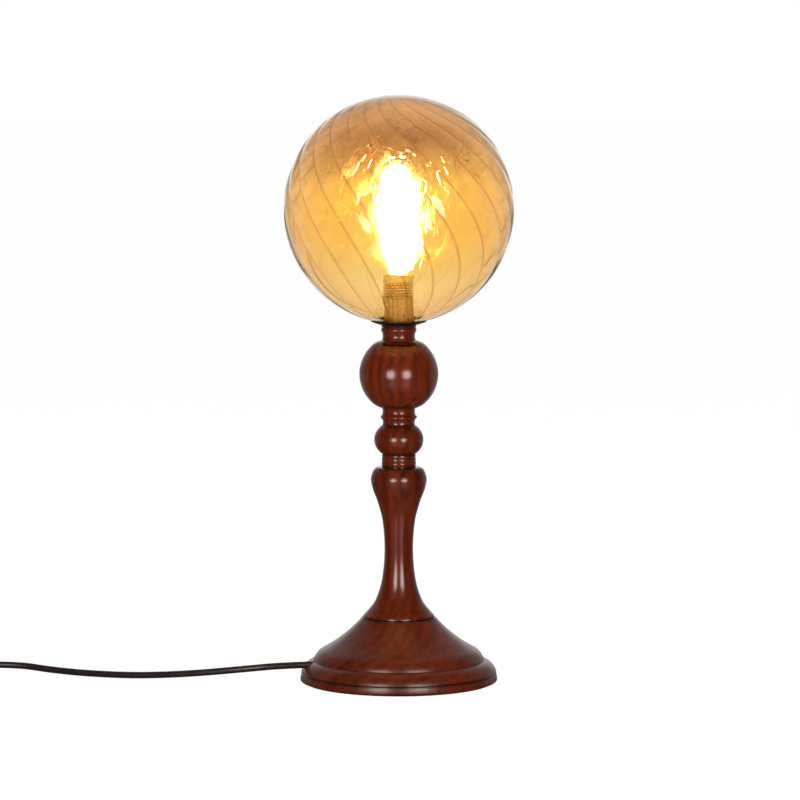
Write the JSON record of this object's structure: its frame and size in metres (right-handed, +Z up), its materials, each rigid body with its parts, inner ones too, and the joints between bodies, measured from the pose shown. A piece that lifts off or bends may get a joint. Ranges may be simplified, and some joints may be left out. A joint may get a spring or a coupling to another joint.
{
  "type": "table lamp",
  "caption": "Turned dark wooden table lamp with a swirled amber glass globe over a candle bulb, and a cord with an in-line rocker switch and a plug.",
  "frame": {"origin": "on the floor under the middle of the round base", "axes": "+Z up along the lamp's turning axis, front toward -Y, the cord leaves toward -X"},
  "size_m": [0.6484, 0.2028, 0.5216],
  "materials": {
    "wood": "dark red-brown satin lacquer",
    "pad": "dark foam pad",
    "zinc": "zinc plated",
    "black_metal": "dark satin",
    "silicone": "soft clear ring",
    "amber_glass": "clear amber, swirled",
    "gold_metal": "polished gold",
    "porcelain": "white",
    "brass": "plain",
    "black_glass": "black vitrite",
    "nickel": "nickel plated",
    "clear_glass": "clear",
    "filament": "glowing stick",
    "cord": "dark smooth sheath",
    "wire_brown": "insulation",
    "wire_blue": "insulation",
    "black_plastic": "smooth black",
    "soft_black": "soft ribbed"
  },
  "bodies": {
    "lamp": {"base_pad": "pad", "wooden_base": "wood", "vase_column": "wood", "small_ball_turning": "wood", "large_ball_turning": "wood", "threaded_tube": "zinc", "tube_washer": "zinc", "tube_nut": "zinc", "shade_dish": "black_metal", "shade_gasket": "silicone", "holder_cap": "gold_metal", "holder_shell": "gold_metal", "holder_insert": "porcelain", "holder_side_contact": "brass", "holder_centre_contact": "brass", "cord_clamp": "zinc", "cord_inside": "cord", "live_wire": "wire_brown", "neutral_wire": "wire_blue", "cord_to_switch": "cord", "cord_switch_to_coil": "cord", "cord_coil": "cord", "cord_coil_to_plug": "cord", "switch_case_bottom": "black_plastic", "switch_case_top": "black_plastic", "switch_pivot": "zinc", "plug_body": "black_plastic", "plug_boot": "soft_black", "terminal_screw_1": "brass", "terminal_screw_2": "brass", "clamp_screw_1": "zinc", "clamp_screw_2": "zinc", "switch_screw_1": "zinc", "switch_screw_2": "zinc", "switch_contact_1": "brass", "switch_contact_2": "brass", "switch_sleeve_1": "soft_black", "switch_sleeve_2": "soft_black", "plug_pin_sleeve_1": "black_plastic", "plug_pin_sleeve_2": "black_plastic", "plug_pin_1": "nickel", "plug_pin_2": "nickel"},
    "globe": {"glass_globe": "amber_glass"},
    "bulb": {"bulb_contact": "zinc", "bulb_insulator": "black_glass", "bulb_cap": "nickel", "bulb_glass": "clear_glass", "bulb_stem": "clear_glass", "bulb_support": "zinc", "bulb_filament_1": "filament", "bulb_filament_2": "filament", "bulb_filament_3": "filament", "bulb_filament_4": "filament"},
    "rocker": {"switch_rocker": "black_plastic"}
  },
  "joints": [
    {"name": "globe_lift", "type": "slide", "parent": "lamp", "child": "globe", "axis": [0, 0, 1], "range_m": [0, 0.15]},
    {"name": "bulb_lift", "type": "slide", "parent": "lamp", "child": "bulb", "axis": [0, 0, 1], "range_m": [0, 0.028]},
    {"name": "rocker_tilt", "type": "hinge", "parent": "lamp", "child": "rocker", "pos_m": [-0.412, 0.045, 0.014], "axis": [0, 1, 0], "range_deg": [0, 20]}
  ]
}
